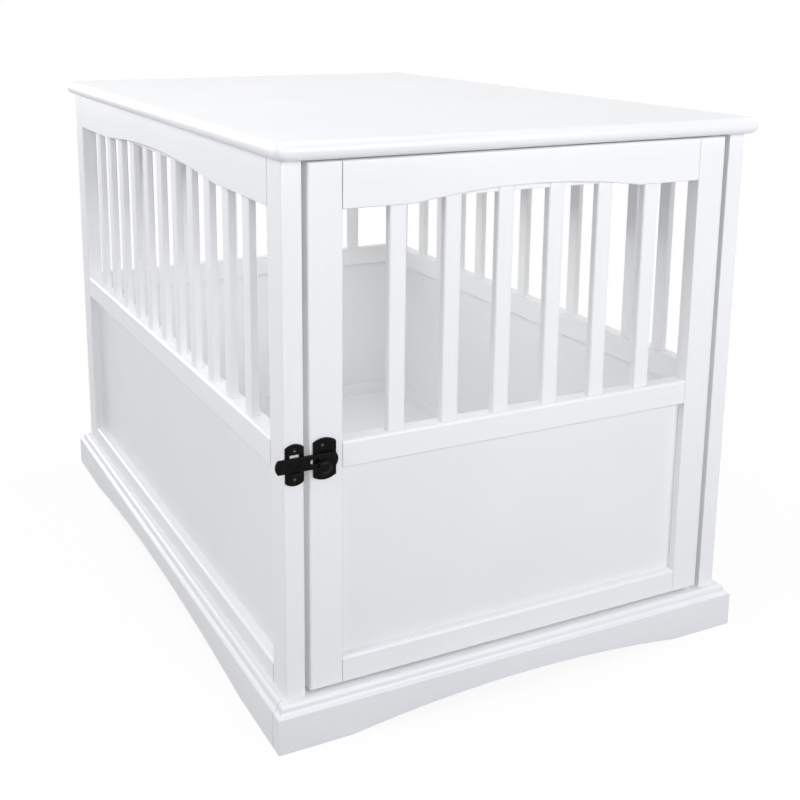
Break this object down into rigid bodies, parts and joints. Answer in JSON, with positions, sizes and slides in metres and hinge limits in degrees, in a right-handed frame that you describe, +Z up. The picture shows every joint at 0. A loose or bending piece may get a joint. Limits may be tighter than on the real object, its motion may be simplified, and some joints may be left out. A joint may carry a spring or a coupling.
{
  "type": "dog crate end table",
  "caption": "White wooden pet crate with barred sides, a swinging front door with a black bar latch, an arched moulded plinth and a flat table top.",
  "frame": {"origin": "on the floor under the middle of the crate", "axes": "+Z up, +Y from the door towards the back, +X to the right when facing the door from outside"},
  "size_m": [0.624, 0.91, 0.653],
  "materials": {
    "white_wood": "satin white paint",
    "bare_wood": "bare sawn",
    "black_metal": "semi-gloss",
    "zinc_steel": "zinc plated",
    "nylon": "matte"
  },
  "bodies": {
    "crate": {"top_board": "white_wood", "top_screws": "zinc_steel", "post_fl": "white_wood", "post_fr": "white_wood", "post_bl": "white_wood", "post_br": "white_wood", "side_top_rail_l": "white_wood", "side_mid_rail_l": "white_wood", "side_bottom_rail_l": "white_wood", "side_panel_l": "white_wood", "side_slats_l": "white_wood", "side_top_rail_r": "white_wood", "side_mid_rail_r": "white_wood", "side_bottom_rail_r": "white_wood", "side_panel_r": "white_wood", "side_slats_r": "white_wood", "back_top_rail": "white_wood", "back_mid_rail": "white_wood", "back_bottom_rail": "white_wood", "back_panel": "white_wood", "back_slats": "white_wood", "floor_panel": "white_wood", "floor_bearer": "bare_wood", "plinth_front": "white_wood", "plinth_back": "white_wood", "plinth_left": "white_wood", "plinth_right": "white_wood", "plinth_blocks": "bare_wood", "pivot_pins": "zinc_steel", "pivot_washer": "nylon", "latch_keeper": "black_metal", "keeper_screws": "black_metal"},
    "door": {"door_stile_l": "white_wood", "door_stile_r": "white_wood", "door_top_rail": "white_wood", "door_mid_rail": "white_wood", "door_bottom_rail": "white_wood", "door_panel": "white_wood", "door_slats": "white_wood", "latch_plate": "black_metal", "latch_spacer": "black_metal", "latch_rivet": "black_metal", "plate_screws": "black_metal"},
    "latch_bar": {"latch_bar": "black_metal"}
  },
  "joints": [
    {"name": "door_swing", "type": "hinge", "parent": "crate", "child": "door", "pos_m": [0.259, -0.428, 0], "axis": [0, 0, 1], "range_deg": [0, 110]},
    {"name": "latch_turn", "type": "hinge", "parent": "door", "child": "latch_bar", "pos_m": [-0.2535, -0.441, 0.3145], "axis": [0, 1, 0], "range_deg": [0, 90]}
  ]
}
